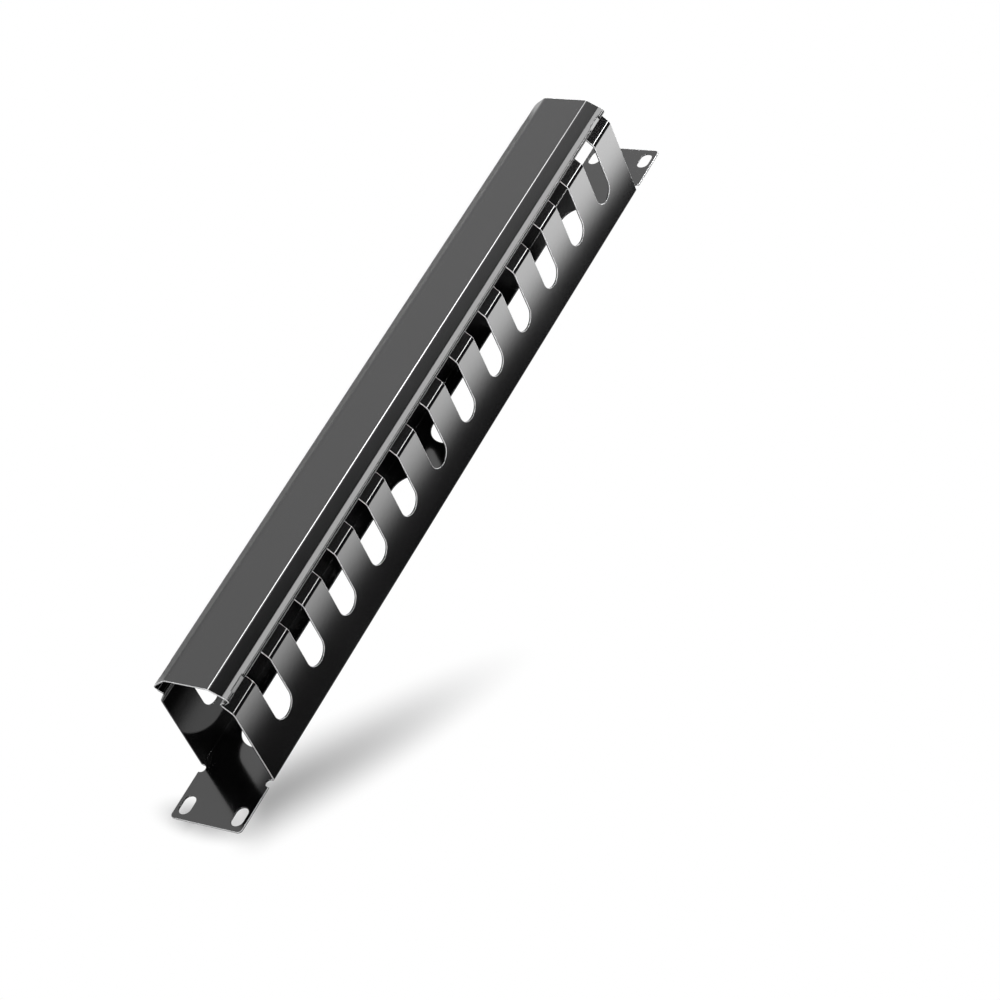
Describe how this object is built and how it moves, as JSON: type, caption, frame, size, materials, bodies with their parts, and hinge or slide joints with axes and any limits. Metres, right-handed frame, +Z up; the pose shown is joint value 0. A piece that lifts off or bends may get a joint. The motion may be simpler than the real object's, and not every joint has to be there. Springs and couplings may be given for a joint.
{
  "type": "horizontal cable manager",
  "caption": "Rack-width folded steel duct with mounting ears, finger slots and rear openings, closed by a press-on front cover that hides patch cables.",
  "frame": {"origin": "centre of the four rack holes, on the back face of the ears, which is the back face of the duct", "axes": "+X along the rack's width, +Y to the back, where the rack's rails are, +Z up; the cover closes the front, at -Y"},
  "size_m": [0.4826, 0.0662, 0.0444],
  "materials": {
    "duct_coating": "semi-gloss black powder coat on folded sheet steel",
    "cover_coating": "semi-gloss black powder coat on folded sheet steel"
  },
  "bodies": {
    "duct": {"duct_body": "duct_coating"},
    "cover": {"snap_cover": "cover_coating"}
  },
  "joints": [
    {"name": "cover_slide", "type": "slide", "parent": "duct", "child": "cover", "axis": [1, 0, 0], "range_m": [-0.42, 0.42]}
  ]
}
